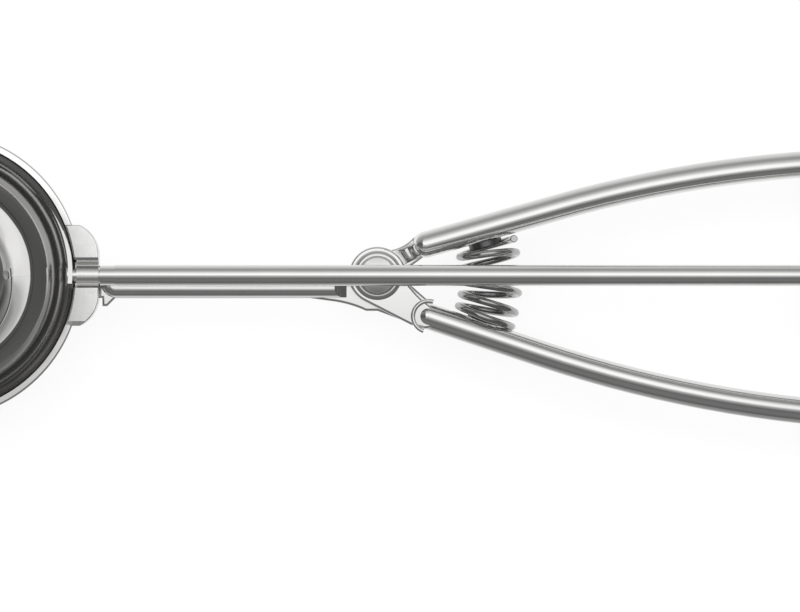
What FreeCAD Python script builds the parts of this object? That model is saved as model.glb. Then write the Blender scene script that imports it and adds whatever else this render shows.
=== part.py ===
import FreeCAD, Part
import Sketcher
import math
import os

# Lever ice cream scoop. A thin band scrapes the bowl clean when the two handles are squeezed:
# a toothed arc on the moving handle turns a pinion on the far end of the long rod, and the
# rod turns the band. Millimetres and degrees, +Z up and out of the bowl, the rod along X,
# the origin at the centre of the bowl's sphere, on the rod's axis.

Vector = FreeCAD.Vector
Z_AXIS = Vector(0, 0, 1)
Y_AXIS = Vector(0, 1, 0)
X_AXIS = Vector(1, 0, 0)
doc = FreeCAD.newDocument("lever_ice_cream_scoop")

# Driving sizes
SIZES = {
    "bowl_radius": 26.1,
    "bowl_wall": 0.8,
    "rim_height": 3.0,
    "rim_overhang": 0.5,
    "rim_thickness": 0.8,
    "neck_length": 3.7,
    "neck_half_width": 9.6,
    "neck_corner_length": 0.1,
    "neck_shoulder_length": 2.1,
    "neck_shoulder_width": 8.1,
    "neck_depth": 9.6,
    "pad_thickness": 1.2,
    "pad_fold_width": 0.9,
    "pad_fold_depth": 1.0,
    "slot_open_side": 3.45,
    "slot_close_side": 2.35,
    "sheet_edge": 0.25,
    "bush_start_gap": 0.3,
    "bush_radius": 2.25,
    "shaft_radius": 1.5,
    "shaft_head_radius": 2.1,
    "shaft_head_height": 0.5,
    "shaft_socket": 5.0,
    "fit_clearance": 0.05,
    "socket_clearance": 0.01,
    "running_gap": 0.25,
    "rod_radius": 2.0,
    "rod_nose_radius": 1.9,
    "rod_nose_length": 2.8,
    "rod_end_length": 1.2,
    "blade_gap": 0.35,
    "blade_thickness": 0.8,
    "blade_width": 8.0,
    "blade_end_width": 4.6,
    "blade_end_reach": 2.1,
    "blade_rest_angle": 12.0,
    "tip_head_radius": 1.9,
    "tip_head_height": 1.1,
    "tip_inner_length": 0.6,
    "arm_length": 53.1,
    "ear_radius": 5.5,
    "ear_thickness": 1.5,
    "ear_gap": 0.15,
    "ear_edge": 0.5,
    "ear_hollow": 0.4,
    "rivet_radius": 2.0,
    "rivet_head_radius": 3.45,
    "rivet_head_height": 1.2,
    "rivet_head_crown": 0.45,
    "rivet_edge": 0.2,
    "rivet_collar_radius": 4.7,
    "rivet_collar_height": 0.5,
    "rivet_groove_width": 0.3,
    "rivet_groove_height": 0.25,
    "rivet_tail_radius": 3.2,
    "rivet_tail_edge": 0.5,
    "rivet_under_rod": 0.35,
    "washer_radius": 4.2,
    "washer_thickness": 0.8,
    "arm_thickness": 2.0,
    "arm_flare_start": 0.5,
    "arm_flare_width": 5.9,
    "arm_flare_length": 1.0,
    "arm_waist_width": 4.35,
    "arm_rod_side_width": 1.9,
    "arm_bend_reach": 9.0,
    "arm_bend_length": 4.0,
    "arm_bend_width": 4.9,
    "arm_skirt_reach": 2.2,
    "arm_skirt_width": 6.8,
    "arm_skirt_bow": 0.3,
    "arm_corner_angle": 10.0,
    "rib_height": 2.2,
    "rib_margin": 0.15,
    "rib_edge": 1.65,
    "rib_ramp_gap": 0.4,
    "rib_ramp_length": 2.3,
    "tongue_length": 6.0,
    "handle_width": 5.0,
    "handle_height": 11.0,
    "handle_level": 8.5,
    "handle_curve_radius": 240.0,
    "upper_handle_slope_angle": 15.7,
    "upper_handle_start": 10.45,
    "upper_handle_offset": 3.2,
    "upper_handle_straight": 26.0,
    "upper_handle_tail_length": 11.0,
    "upper_ear_corner_angle": 5.0,
    "upper_ear_neck_angle": 47.0,
    "upper_neck_gap": 2.0,
    "upper_neck_half_width": 1.9,
    "lower_handle_slope_angle": 18.4,
    "lower_handle_start": 11.7,
    "lower_handle_offset": 4.35,
    "lower_handle_straight": 22.4,
    "lower_handle_tail_length": 13.2,
    "lower_ear_corner_angle": 13.0,
    "lower_ear_neck_angle": 99.0,
    "lower_neck_gap": 2.7,
    "lower_neck_half_width": 2.6,
    "collar_radius": 2.95,
    "collar_bead_radius": 0.42,
    "spring_reach": 23.1,
    "spring_radius": 5.45,
    "spring_wire": 1.4,
    "spring_turns": 5.0,
    "spring_flat_turns": 0.25,
    "spring_seat_gap": 0.3,
    "peg_radius": 3.2,
    "peg_height": 1.3,
    "peg_edge": 0.4,
    "rack_radius": 91.5,
    "rack_width": 6.0,
    "rack_body": 3.0,
    "rack_gap_count": 7.0,
    "gear_module": 1.0,
    "pinion_teeth": 10.0,
    "pressure_angle": 25.0,
    "gear_addendum": 0.8,
    "gear_root_depth": 1.0,
    "gear_backlash": 0.3,
    "pinion_hub_radius": 3.8,
    "pinion_hub_length": 4.0,
    "pinion_pin_radius": 0.75,
    "foot_thickness": 1.5,
    "foot_height": 5.0,
    "rack_foot_length": 15.0,
    "rack_rivet_inset": 2.0,
    "foot_rivet_radius": 1.0,
    "foot_rivet_head_radius": 1.7,
    "foot_rivet_head_height": 0.9,
    "foot_rivet_edge": 0.5,
    "rear_distance": 6.0,
    "rear_plate": 2.0,
    "rear_ring_radius": 4.2,
    "rear_foot_length": 12.0,
    "rear_rivet_inset": 2.5,
    "rear_rivet_spacing": 4.5,
    "rear_bush_radius": 2.6,
    "rear_flange_radius": 3.3,
    "rear_flange_thickness": 0.5,
    "clip_thickness": 0.5,
    "clip_radius": 2.9,
    "clip_groove_depth": 0.35,
    "clip_opening": 1.6,
}

sheet = doc.addObject("Spreadsheet::Sheet", "Sizes")
for row, (alias, number) in enumerate(SIZES.items(), start=1):
    sheet.set("A%d" % row, alias.replace("_", " "))
    sheet.set("B%d" % row, str(number))
    sheet.setAlias("B%d" % row, alias)
doc.recompute()


def size(alias):
    return float(sheet.get(alias))


# Sketch and feature helpers


def new_body(label, place=None):
    body = doc.addObject("PartDesign::Body", label)
    body.Label = label
    if place:
        body.Placement = place
    return body


def new_sketch(body, name, role="XY_Plane", offset=None):
    plane = [f for f in body.Origin.OriginFeatures if f.Role == role][0]
    sketch = body.newObject("Sketcher::SketchObject", name)
    sketch.AttachmentSupport = [(plane, "")]
    sketch.MapMode = "FlatFace"
    if offset:
        sketch.AttachmentOffset = offset
    return sketch


def shifted(x, y, z, turn=0.0, axis=Y_AXIS):
    return FreeCAD.Placement(Vector(x, y, z), FreeCAD.Rotation(axis, turn))


class Outline:
    """Joined lines and arcs in a sketch, drawn one after another."""

    def __init__(self, sketch, x, y):
        self.sketch = sketch
        self.first = Vector(x, y, 0)
        self.point = self.first
        self.ends = []

    def add(self, shape, enter, leave, x, y):
        index = self.sketch.addGeometry(shape, False)
        if self.ends:
            last, last_end = self.ends[-1][0], self.ends[-1][2]
            self.join(last, last_end, index, enter)
        self.ends.append((index, enter, leave))
        self.point = Vector(x, y, 0)
        return index

    def join(self, one, one_end, two, two_end):
        self.sketch.addConstraint(Sketcher.Constraint("Coincident", one, one_end, two, two_end))

    def line_to(self, x, y):
        target = Vector(x, y, 0)
        return self.add(Part.LineSegment(self.point, target), 1, 2, x, y)

    def arc_to(self, x, y, cx, cy, clockwise=False):
        centre = Vector(cx, cy, 0)
        begin = math.atan2(self.point.y - cy, self.point.x - cx)
        end = math.atan2(y - cy, x - cx)
        if clockwise:
            begin, end = end, begin
        if end <= begin:
            end += 2 * math.pi
        circle = Part.Circle(centre, Z_AXIS, (self.point - centre).Length)
        arc = Part.ArcOfCircle(circle, begin, end)
        enter, leave = (2, 1) if clockwise else (1, 2)
        return self.add(arc, enter, leave, x, y)

    def arc_through(self, mx, my, x, y):
        circle = Part.Circle(self.point, Vector(mx, my, 0), Vector(x, y, 0))
        centre = circle.Center
        turn = (Vector(mx, my, 0) - self.point).cross(Vector(x, y, 0) - self.point).z
        return self.arc_to(x, y, centre.x, centre.y, turn < 0)

    def close(self):
        if (self.point - self.first).Length > 1e-6:
            self.line_to(self.first.x, self.first.y)
        first, last = self.ends[0], self.ends[-1]
        self.join(last[0], last[2], first[0], first[1])


def fix_radius(sketch, index, expression):
    name = "radius_%d" % index
    geometry = sketch.Geometry[index]
    number = sketch.addConstraint(Sketcher.Constraint("Radius", index, geometry.Radius))
    sketch.renameConstraint(number, name)
    sketch.setExpression("Constraints." + name, expression)


def circle_in(sketch, radius_expression, radius, x=0.0, y=0.0):
    index = sketch.addGeometry(Part.Circle(Vector(x, y, 0), Z_AXIS, radius), False)
    if x == 0 and y == 0:
        sketch.addConstraint(Sketcher.Constraint("Coincident", index, 3, -1, 1))
    fix_radius(sketch, index, radius_expression)
    return index


def feature(body, kind, name, sketch, **settings):
    made = body.newObject("PartDesign::" + kind, name)
    made.Profile = sketch
    for key, setting in settings.items():
        if key in ("length", "angle"):
            made.setExpression(key.capitalize(), setting)
        else:
            setattr(made, key, setting)
    return made


def checked_cut(body, kind, name, sketch, **settings):
    doc.recompute()
    before = body.Shape.Volume
    made = feature(body, kind, name, sketch, **settings)
    doc.recompute()
    if not body.Shape.Volume < before - 1e-6:
        raise RuntimeError(name + " removed nothing")
    return made


def turned(body, name, sketch, axis, kind="Revolution", **settings):
    return feature(body, kind, name, sketch, ReferenceAxis=(sketch, [axis]), **settings)


def polygon(sketch, points):
    outline = Outline(sketch, *points[0])
    for x, y in points[1:]:
        outline.line_to(x, y)
    outline.close()


# Levels of the stacked plates at the pivot, from the rod downwards
HEAD_TOP = -size("rod_radius") - size("rivet_under_rod")
LOWER_EAR_TOP = HEAD_TOP - size("rivet_head_height")
UPPER_EAR_TOP = LOWER_EAR_TOP - size("ear_thickness") - size("ear_gap")
ARM_TOP = UPPER_EAR_TOP - size("ear_thickness") - size("ear_gap")
WASHER_TOP = ARM_TOP - size("arm_thickness")
LEVEL = -size("handle_level")
OUTER_RADIUS = size("bowl_radius") + size("bowl_wall")
NECK_REACH = OUTER_RADIUS + size("neck_length")
PIVOT_REACH = NECK_REACH + size("arm_length")
PINION_RADIUS = size("gear_module") * size("pinion_teeth") / 2
PINION_REACH = PIVOT_REACH + size("rack_radius")
REAR_REACH = PINION_REACH + size("rear_distance")


# Where things lie on the handles. The side is 1 for the moving handle and -1 for the fixed one.
# A handle runs straight from its start, then curves, and ends a tail's length past the pinion.


class Handle:
    def __init__(self, name, side):
        self.side = side
        self.slope = math.radians(size(name + "_slope_angle"))
        self.start = size(name + "_start")
        self.offset = size(name + "_offset")
        self.straight = size(name + "_straight")
        self.ear_neck = math.radians(size(name.replace("handle", "ear_neck_angle")))
        self.ear_corner = math.radians(size(name.replace("handle", "ear_corner_angle")))
        self.neck_gap = size(name.replace("handle", "neck_gap"))
        self.neck_half = size(name.replace("handle", "neck_half_width"))
        self.radius = size("handle_curve_radius")
        self.half = size("handle_width") / 2
        angle = math.degrees(side * self.slope)
        self.place = shifted(PIVOT_REACH, 0, 0, angle, Z_AXIS)
        tail = size(name + "_tail_length")
        self.turn = self.turn_at(PINION_REACH) + tail / self.radius

    def at(self, along, across, level=0.0):
        """A point on the straight run, from the pivot along it and across it, away from the rod."""
        return self.place.multVec(Vector(along, self.side * across, level))

    def arc_place(self, turn, across=0.0):
        """A frame on the curved run: X along the handle and Z along its width, away from the rod."""
        centre_x = self.start + self.straight
        reach = self.radius + across
        x = centre_x + reach * math.sin(turn)
        y = self.side * (self.offset - self.radius + reach * math.cos(turn))
        return x, y, -self.side * math.degrees(turn)

    def arc_point(self, turn, across=0.0):
        x, y, _ = self.arc_place(turn, across)
        return self.place.multVec(Vector(x, y, 0))

    def world_angle(self, turn):
        return math.degrees(self.side * (self.slope - turn))

    def turn_at(self, reach):
        """The turn along the curved run at which the handle is so far from the bowl's centre."""
        first = self.arc_point(0.0)
        return self.slope - math.asin(math.sin(self.slope) - (reach - first.x) / self.radius)


UPPER = Handle("upper_handle", 1)
LOWER = Handle("lower_handle", -1)


# Bowl and neck


def make_bowl():
    inner = size("bowl_radius")
    top = size("rim_height")
    lip = size("rim_thickness") / 2
    edge = OUTER_RADIUS + size("rim_overhang") - lip
    body = new_body("bowl")
    sketch = new_sketch(body, "bowl_profile", "XZ_Plane")
    wall = Outline(sketch, 0, -inner)
    inside = wall.arc_to(inner, 0, 0, 0)
    wall.line_to(inner, top)
    wall.line_to(edge, top)
    wall.arc_to(edge, top - 2 * lip, edge, top - lip, clockwise=True)
    wall.line_to(OUTER_RADIUS, top - 2 * lip)
    wall.line_to(OUTER_RADIUS, 0)
    outside = wall.arc_to(0, -OUTER_RADIUS, 0, 0, clockwise=True)
    wall.close()
    fix_radius(sketch, inside, "Sizes.bowl_radius")
    fix_radius(sketch, outside, "Sizes.bowl_radius + Sizes.bowl_wall")
    turned(body, "bowl_wall", sketch, "V_Axis", Angle=360)
    seat = new_sketch(body, "pad_seat", offset=shifted(0, 0, top))
    half = size("neck_half_width")
    polygon(seat, [(inner / 2, -half), (2 * inner, -half), (2 * inner, half), (inner / 2, half)])
    checked_cut(body, "Pocket", "pad_seat_cut", seat, length="Sizes.pad_thickness")
    bush_slot(body, 2 * inner)
    tip = new_sketch(body, "tip_hole", "YZ_Plane")
    circle_in(tip, "Sizes.shaft_radius", size("shaft_radius"))
    checked_cut(body, "Pocket", "tip_hole_cut", tip, Length=2 * inner)
    return body


def bush_slot(body, reach):
    """The round-bottomed slot that the neck bush drops into, widening upwards."""
    sketch = new_sketch(body, "bush_slot", "YZ_Plane", shifted(0, 0, size("bowl_radius") / 2))
    radius = size("bush_radius")
    top = size("rim_height") + size("pad_thickness")
    wide = size("slot_open_side")
    close = size("slot_close_side")
    slot = Outline(sketch, -radius, 0)
    floor = slot.arc_to(radius, 0, 0, 0)
    slot.line_to(wide, size("rim_height"))
    slot.line_to(wide, top)
    slot.line_to(-close, top)
    slot.line_to(-close, size("rim_height"))
    slot.close()
    fix_radius(sketch, floor, "Sizes.bush_radius")
    length = reach - size("bowl_radius") / 2
    checked_cut(body, "Pocket", "bush_slot_cut", sketch, Length=length, Reversed=True)


def make_neck_bracket():
    """A saddle between the bowl's wall and the arm, with a pad each side of the bush."""
    top = size("rim_height")
    half = size("neck_half_width")
    corner = OUTER_RADIUS + size("neck_corner_length")
    shoulder = (OUTER_RADIUS + size("neck_shoulder_length"), size("neck_shoulder_width"))
    reach = NECK_REACH
    end = size("slot_open_side")
    body = new_body("neck_bracket")
    sketch = new_sketch(body, "saddle_outline", offset=shifted(0, 0, -size("neck_depth")))
    plan = Outline(sketch, size("bowl_radius") / 2, -half)
    plan.line_to(corner, -half)
    plan.arc_through(shoulder[0], -shoulder[1], reach, -end)
    plan.line_to(reach, end)
    plan.arc_through(shoulder[0], shoulder[1], corner, half)
    plan.line_to(size("bowl_radius") / 2, half)
    plan.close()
    feature(body, "Pad", "saddle", sketch, length="Sizes.neck_depth + Sizes.rim_height")
    seat = top - size("pad_thickness")
    bowl = new_sketch(body, "bowl_space", "XZ_Plane")
    space = Outline(bowl, 0, -OUTER_RADIUS)
    space.arc_to(OUTER_RADIUS, 0, 0, 0)
    space.line_to(OUTER_RADIUS, seat)
    space.line_to(size("bowl_radius"), seat)
    space.line_to(size("bowl_radius"), 2 * top)
    space.line_to(0, 2 * top)
    space.close()
    checked_cut(
        body, "Groove", "bowl_space_cut", bowl, ReferenceAxis=(bowl, ["V_Axis"]), Angle=360
    )
    round_edges(body, "pad_edges", top, size("sheet_edge"))
    bush_slot(body, 2 * NECK_REACH)
    fold = new_sketch(body, "pad_fold", "YZ_Plane")
    fold_start = size("pad_fold_width") - half
    fold_low = top - size("pad_fold_depth")
    polygon(fold, [(fold_start, top), (-half, fold_low), (-2 * half, fold_low), (-2 * half, top)])
    checked_cut(body, "Pocket", "pad_fold_cut", fold, Length=2 * reach, Reversed=True)
    return body


def ring(label, outer, bore, start, length, along_x=True):
    """A plain ring cut from two cylinders, along X or Z."""
    turn = FreeCAD.Rotation(Y_AXIS, 90) if along_x else FreeCAD.Rotation()
    solids = []
    for name, radius in (("outside", outer), ("bore", bore)):
        solid = doc.addObject("Part::Cylinder", label + "_" + name)
        solid.setExpression("Radius", radius)
        solid.setExpression("Height", length)
        solids.append(solid)
    cut = doc.addObject("Part::Cut", label)
    cut.Base, cut.Tool = solids
    cut.Label = label
    cut.Placement = FreeCAD.Placement(start, turn)
    return cut


def make_neck_bush():
    start = Vector(size("bowl_radius") + size("bush_start_gap"), 0, 0)
    bore = "Sizes.shaft_radius + Sizes.fit_clearance"
    length = "Sizes.bowl_wall + Sizes.neck_length - Sizes.bush_start_gap"
    return ring("neck_bush", "Sizes.bush_radius", bore, start, length)


def make_tip_pivot_pin():
    """The rivet through the bowl's far wall on which the scraper's other end turns."""
    head = OUTER_RADIUS + size("tip_head_height")
    inner = size("bowl_radius") - size("blade_gap") - size("blade_thickness")
    shank = size("shaft_radius")
    round_edge = size("tip_head_height") / 2
    body = new_body("tip_pivot_pin")
    sketch = new_sketch(body, "pin_profile", "XZ_Plane")
    pin = Outline(sketch, -head, 0)
    pin.line_to(-head, size("tip_head_radius") - round_edge)
    pin.arc_to(
        -head + round_edge,
        size("tip_head_radius"),
        -head + round_edge,
        size("tip_head_radius") - round_edge,
        clockwise=True,
    )
    pin.line_to(-OUTER_RADIUS, size("tip_head_radius"))
    pin.line_to(-OUTER_RADIUS, shank)
    pin.line_to(-inner + size("tip_inner_length"), shank)
    pin.line_to(-inner + size("tip_inner_length"), 0)
    pin.close()
    turned(body, "pin", sketch, "H_Axis", Angle=360)
    return body


# Arm, pivot and handles


def make_stem_arm():
    """The arm under the rod, with a raised rib, the lowest pivot ear and a tongue in the handle."""
    pivot = PIVOT_REACH
    ear = size("ear_radius")
    reach = NECK_REACH
    flare = -size("arm_flare_width")
    waist = -size("arm_waist_width")
    side = size("arm_rod_side_width")
    half = size("handle_width") / 2
    tongue = LOWER.start + size("tongue_length")
    body = new_body("stem_arm")
    sketch = new_sketch(body, "arm_outline", offset=shifted(0, 0, WASHER_TOP))
    flare_start = reach + size("arm_flare_start")
    flare_end = flare_start + size("arm_flare_length")
    bend = pivot - size("arm_bend_reach")
    bend_y = -size("arm_bend_width")
    skirt = pivot - size("arm_skirt_reach")
    skirt_y = -size("arm_skirt_width")
    plan = Outline(sketch, reach, waist)
    plan.line_to(flare_start, waist)
    plan.line_to(flare_start, flare)
    plan.line_to(flare_end, flare)
    plan.line_to(flare_end + waist - flare, waist)
    plan.line_to(bend - size("arm_bend_length"), waist)
    plan.line_to(bend, bend_y)
    plan.arc_through(
        (bend + skirt) / 2, (bend_y + skirt_y) / 2 + size("arm_skirt_bow"), skirt, skirt_y
    )
    plan.line_to(pivot, skirt_y)
    corners = [
        LOWER.at(LOWER.start, LOWER.offset + half),
        LOWER.at(tongue, LOWER.offset + half),
        LOWER.at(tongue, LOWER.offset - half),
        LOWER.at(LOWER.start, LOWER.offset - half),
    ]
    for corner in corners:
        plan.line_to(corner.x, corner.y)
    low = -math.radians(size("arm_corner_angle"))
    plan.line_to(pivot + ear * math.cos(low), ear * math.sin(low))
    far_x = pivot - math.sqrt(ear * ear - side * side)
    round_ear = plan.arc_to(far_x, side, pivot, 0)
    plan.line_to(reach, side)
    plan.close()
    fix_radius(sketch, round_ear, "Sizes.ear_radius")
    feature(body, "Pad", "arm", sketch, length="Sizes.arm_thickness")
    doc.recompute()
    round_edges(body, "arm_edges", ARM_TOP, size("ear_edge"))
    add_rib(body, waist + size("rib_margin"), side - size("rib_margin"))
    pivot_hole(body, pivot, "Sizes.rivet_radius", size("rivet_radius"))
    return body


def add_rib(body, low_y, high_y):
    """A rib with a rounded crown: a round end at the neck and a ramp down before the ears."""
    base = ARM_TOP - size("ear_edge")
    crown = ARM_TOP + size("rib_height")
    sketch = new_sketch(body, "rib_outline", offset=shifted(0, 0, base))
    radius = (high_y - low_y) / 2
    near = NECK_REACH + size("rib_margin") + radius
    far = PIVOT_REACH - size("ear_radius") - size("rib_ramp_gap")
    plan = Outline(sketch, near, low_y)
    plan.line_to(far, low_y)
    plan.line_to(far, high_y)
    plan.line_to(near, high_y)
    plan.arc_to(near, low_y, near, (high_y + low_y) / 2)
    plan.close()
    feature(body, "Pad", "rib", sketch, length="Sizes.rib_height + Sizes.ear_edge")
    doc.recompute()
    round_edges(body, "rib_crown", crown, size("rib_edge"))
    ramp = new_sketch(body, "rib_ramp", "XZ_Plane")
    top = far - size("rib_ramp_length")
    polygon(ramp, [(top, crown), (far, ARM_TOP), (PIVOT_REACH, ARM_TOP), (PIVOT_REACH, crown)])
    width = 4 * size("arm_skirt_width")
    checked_cut(body, "Pocket", "rib_ramp_cut", ramp, Length=width, Midplane=True)


def round_edges(body, name, level, radius):
    """Rounds every edge that lies flat at one level."""
    names = []
    for index, edge in enumerate(body.Shape.Edges, start=1):
        box = edge.BoundBox
        if abs(box.ZMin - level) < 1e-4 and abs(box.ZMax - level) < 1e-4:
            names.append("Edge%d" % index)
    rounded = body.Tip
    fillet = body.newObject("PartDesign::Fillet", name)
    fillet.Base = (rounded, names)
    fillet.Radius = radius
    return fillet


def pivot_hole(body, x, expression, radius):
    sketch = new_sketch(body, "pivot_hole", offset=shifted(0, 0, 0))
    circle_in(sketch, expression, radius, x, 0)
    checked_cut(body, "Pocket", "pivot_hole_cut", sketch, Length=4 * size("handle_level"))


def handle_section(sketch, y, z):
    """The handle's upright section, with a full round at its top and bottom."""
    half = size("handle_width") / 2
    rise = size("handle_height") / 2 - half
    section = Outline(sketch, y + half, z - rise)
    section.line_to(y + half, z + rise)
    crown = section.arc_to(y - half, z + rise, y, z + rise)
    section.line_to(y - half, z - rise)
    section.arc_to(y + half, z - rise, y, z - rise)
    section.close()
    fix_radius(sketch, crown, "Sizes.handle_width / 2")


def half_section(sketch, side):
    """Half of the handle's section beside the sketch's upright axis, to be turned into an end."""
    half = size("handle_width") / 2
    rise = size("handle_height") / 2 - half
    end = Outline(sketch, 0, -rise - half)
    end.arc_to(side * half, -rise, 0, -rise, clockwise=side < 0)
    end.line_to(side * half, rise)
    end.arc_to(0, rise + half, 0, rise, clockwise=side < 0)
    end.close()


def make_handle(label, handle, ear_top, bore, bore_radius):
    """A bent handle with rounded ends and a flat pivot ear. Its body's X runs along the straight."""
    side = handle.side
    y = side * handle.offset
    body = new_body(label, handle.place)
    ear_plan = new_sketch(body, "ear_outline", offset=shifted(0, 0, ear_top))
    draw_ear(ear_plan, handle)
    feature(body, "Pad", "ear", ear_plan, length="Sizes.ear_thickness", Reversed=True)
    doc.recompute()
    round_edges(body, "ear_edges", ear_top, size("ear_edge"))
    route = new_sketch(body, "handle_route", offset=shifted(0, 0, LEVEL))
    bend = handle.start + handle.straight
    line = Outline(route, handle.start, y)
    line.line_to(bend, y)
    end_x, end_y, end_turn = handle.arc_place(handle.turn)
    curve = line.arc_to(end_x, end_y, bend, y - side * handle.radius, clockwise=side > 0)
    fix_radius(route, curve, "Sizes.handle_curve_radius")
    section = new_sketch(body, "handle_section", "YZ_Plane", shifted(0, 0, handle.start))
    handle_section(section, y, LEVEL)
    doc.recompute()
    bar = feature(body, "AdditivePipe", "handle_bar", section)
    bar.Spine = (route, ["Edge1", "Edge2"])
    near = new_sketch(body, "near_end", "XZ_Plane", shifted(handle.start, LEVEL, -y))
    half_section(near, -1)
    turned(body, "near_cap", near, "V_Axis", Angle=180, Midplane=True)
    far = new_sketch(body, "far_end", "XZ_Plane", shifted(end_x, LEVEL, -end_y, end_turn))
    half_section(far, 1)
    turned(body, "far_cap", far, "V_Axis", Angle=180, Midplane=True)
    pivot_hole(body, 0, bore, bore_radius)
    return body


def draw_ear(sketch, handle):
    """A disc round the pivot, drawn out to the handle's near end and fading into its crown."""
    ear = size("ear_radius")
    half = handle.half
    side = handle.side
    centre = Vector(handle.start, side * handle.offset, 0)
    outer = side * handle.ear_neck
    inner = -side * handle.ear_corner
    neck = Vector(centre.x - handle.neck_gap, centre.y + side * handle.neck_half, 0)
    plan = Outline(sketch, ear * math.cos(inner), ear * math.sin(inner))
    straight_or_hollow(plan, centre.x - 0.7 * half, centre.y - side * half, side < 0)
    plan.line_to(centre.x + 2 * half, centre.y)
    plan.line_to(centre.x, centre.y + side * half)
    plan.line_to(neck.x, neck.y)
    straight_or_hollow(plan, ear * math.cos(outer), ear * math.sin(outer), side > 0)
    disc = plan.arc_to(plan.first.x, plan.first.y, 0, 0, clockwise=side < 0)
    plan.close()
    fix_radius(sketch, disc, "Sizes.ear_radius")


def straight_or_hollow(plan, x, y, hollow):
    """An edge of the ear. The edge towards +Y is gently hollow on both ears."""
    middle = (plan.point + Vector(x, y, 0)) * 0.5
    if hollow:
        plan.arc_through(middle.x, middle.y - size("ear_hollow"), x, y)
    else:
        plan.line_to(x, y)


def make_lower_handle():
    body = make_handle(
        "lower_handle", LOWER, LOWER_EAR_TOP, "Sizes.rivet_radius", size("rivet_radius")
    )
    bead = new_sketch(body, "collar_bead", "XZ_Plane", shifted(LOWER.start, 0, LOWER.offset))
    index = bead.addGeometry(
        Part.Circle(
            Vector(-size("collar_radius"), LOWER_EAR_TOP, 0), Z_AXIS, size("collar_bead_radius")
        ),
        False,
    )
    fix_radius(bead, index, "Sizes.collar_bead_radius")
    turned(body, "collar", bead, "V_Axis", Angle=180, Midplane=True)
    slot = new_sketch(body, "tongue_slot", offset=shifted(0, 0, ARM_TOP))
    low = -LOWER.offset - size("handle_width")
    high = -LOWER.offset + size("handle_width")
    end = LOWER.start + size("tongue_length")
    near = LOWER.start - size("handle_width")
    polygon(slot, [(near, low), (end, low), (end, high), (near, high)])
    checked_cut(body, "Pocket", "tongue_slot_cut", slot, length="Sizes.arm_thickness")
    rivet_holes(body, LOWER, rear_rivet_turns())
    return body


def make_upper_handle():
    radius = size("rivet_radius") + size("fit_clearance")
    bore = "Sizes.rivet_radius + Sizes.fit_clearance"
    body = make_handle("upper_handle", UPPER, UPPER_EAR_TOP, bore, radius)
    rivet_holes(body, UPPER, rack_rivet_turns())
    return body


def rivet_holes(body, handle, turns):
    """Rivet holes straight across the handle, or its foot, on the curved run."""
    for number, turn in enumerate(turns, start=1):
        inside = body.Placement.inverse()
        point = inside.multVec(handle.arc_point(turn))
        angle = handle.world_angle(turn) - body.Placement.Rotation.toEuler()[0]
        place = shifted(point.x, LEVEL, -point.y, angle)
        sketch = new_sketch(body, "rivet_hole_%d" % number, "XZ_Plane", place)
        circle_in(sketch, "Sizes.foot_rivet_radius", size("foot_rivet_radius"))
        reach = 4 * size("handle_width")
        name = "rivet_hole_cut_%d" % number
        checked_cut(body, "Pocket", name, sketch, Length=reach, Midplane=True)


def rack_rivet_turns():
    start, end = rack_foot_span()
    inset = size("rack_rivet_inset") / UPPER.radius
    return [start + inset, end - inset]


def rear_rivet_turns():
    start, _ = rear_foot_span()
    first = start + size("rear_rivet_inset") / LOWER.radius
    return [first, first + size("rear_rivet_spacing") / LOWER.radius]


def rack_end():
    """Where the rack's arc meets the moving handle: its turn on the handle and its own angle."""
    radius = size("rack_radius")
    reach = PINION_REACH
    for _ in range(6):
        turn = UPPER.turn_at(reach)
        inner = UPPER.arc_point(turn, -UPPER.half - size("foot_thickness") / 2)
        angle = math.asin(inner.y / radius)
        reach = PIVOT_REACH + radius * math.cos(angle)
    return turn, angle


def rack_foot_span():
    middle, _ = rack_end()
    half = size("rack_foot_length") / 2 / UPPER.radius
    return middle - half, middle + half


def rear_foot_span():
    end = LOWER.turn_at(REAR_REACH + size("rear_plate"))
    return end - size("rear_foot_length") / LOWER.radius, end


def make_pivot_rivet():
    """Head, shank and formed tail, turned about the pivot."""
    head = size("rivet_head_radius")
    edge = size("rivet_edge")
    shank = size("rivet_radius")
    tail = size("rivet_tail_radius")
    tail_edge = size("rivet_tail_edge")
    tail_top = WASHER_TOP - size("washer_thickness")
    tail_low = tail_top - size("rivet_head_height")
    flat = head - edge
    drop = size("rivet_head_crown")
    dome = (flat * flat + drop * drop) / (2 * drop)
    collar = size("rivet_collar_radius")
    crest = LOWER_EAR_TOP + size("rivet_collar_height")
    groove = head + size("rivet_groove_width")
    groove_low = LOWER_EAR_TOP + size("rivet_groove_height")
    bow = (collar - groove) / 3
    body = new_body("pivot_rivet", shifted(PIVOT_REACH, 0, 0))
    sketch = new_sketch(body, "rivet_profile", "XZ_Plane")
    profile = Outline(sketch, 0, HEAD_TOP)
    profile.arc_to(flat, HEAD_TOP - drop, 0, HEAD_TOP - dome, clockwise=True)
    profile.arc_to(head, HEAD_TOP - drop - edge, flat, HEAD_TOP - drop - edge, clockwise=True)
    profile.line_to(head, groove_low)
    profile.line_to(groove, crest)
    profile.arc_through(collar - bow, (2 * crest + LOWER_EAR_TOP) / 3, collar, LOWER_EAR_TOP)
    profile.line_to(shank, LOWER_EAR_TOP)
    profile.line_to(shank, tail_top)
    profile.line_to(tail, tail_top)
    profile.line_to(tail, tail_low + tail_edge)
    profile.arc_to(
        tail - tail_edge, tail_low, tail - tail_edge, tail_low + tail_edge, clockwise=True
    )
    profile.line_to(0, tail_low)
    profile.close()
    turned(body, "rivet", sketch, "V_Axis", Angle=360)
    return body


def make_pivot_washer():
    start = Vector(PIVOT_REACH, 0, WASHER_TOP - size("washer_thickness"))
    return ring(
        "pivot_washer",
        "Sizes.washer_radius",
        "Sizes.rivet_radius",
        start,
        "Sizes.washer_thickness",
        along_x=False,
    )


# Spring and its pegs


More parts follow.
